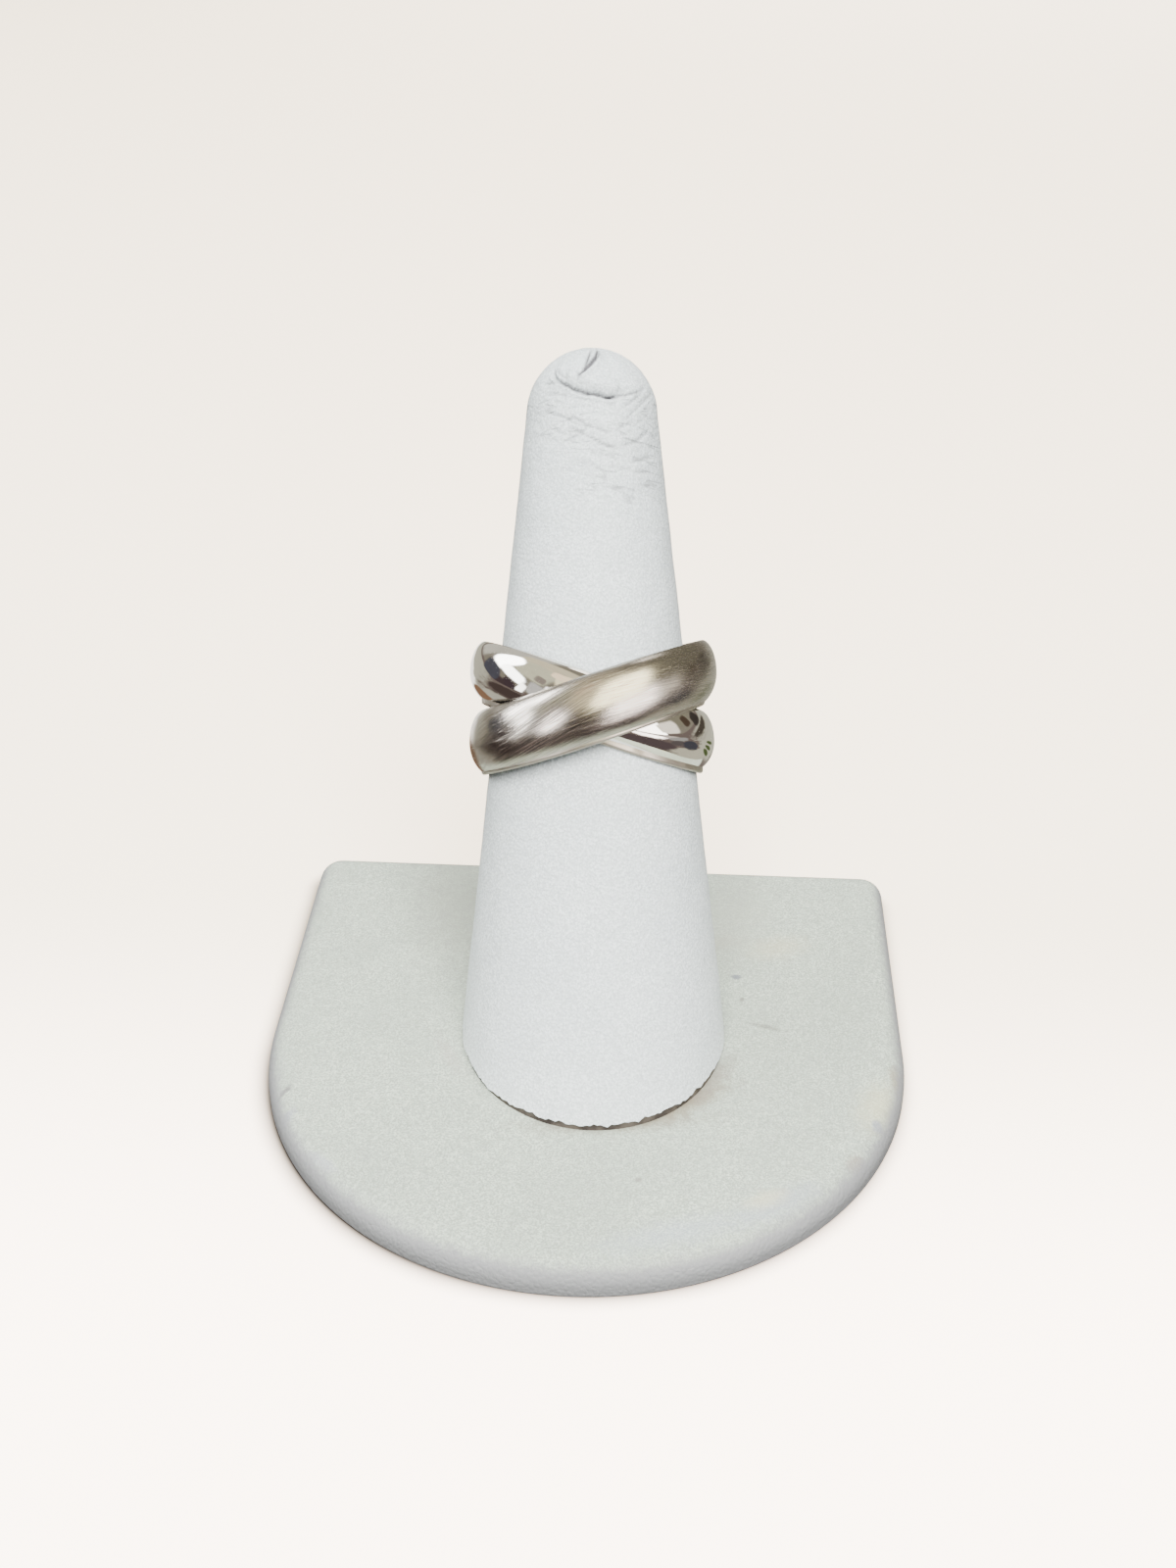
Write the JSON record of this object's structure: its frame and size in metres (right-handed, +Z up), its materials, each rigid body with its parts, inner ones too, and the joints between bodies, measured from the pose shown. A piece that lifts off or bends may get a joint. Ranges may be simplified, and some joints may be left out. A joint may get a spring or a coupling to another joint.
{
  "type": "crossover ring of two bands on a finger stand",
  "caption": "White metal crossover ring, a brushed band and a polished band crossing in front, on a leaning leather-covered finger with a D-shaped base.",
  "frame": {"origin": "on the surface that the plate rests on, under the middle of the whole part's box", "axes": "+Z up, +X to the right and parallel to the plate's straight back edge, -Y towards the plate's round front"},
  "size_m": [0.057, 0.0626, 0.0566],
  "materials": {
    "plate_cover": "fine grain, satin",
    "finger_cover": "fine grain, satin",
    "brushed_metal": "brushed along the band",
    "polished_metal": "mirror polish"
  },
  "bodies": {
    "root": {"base_plate": "plate_cover", "finger": "finger_cover", "brushed_band": "brushed_metal", "polished_band": "polished_metal"}
  },
  "joints": []
}
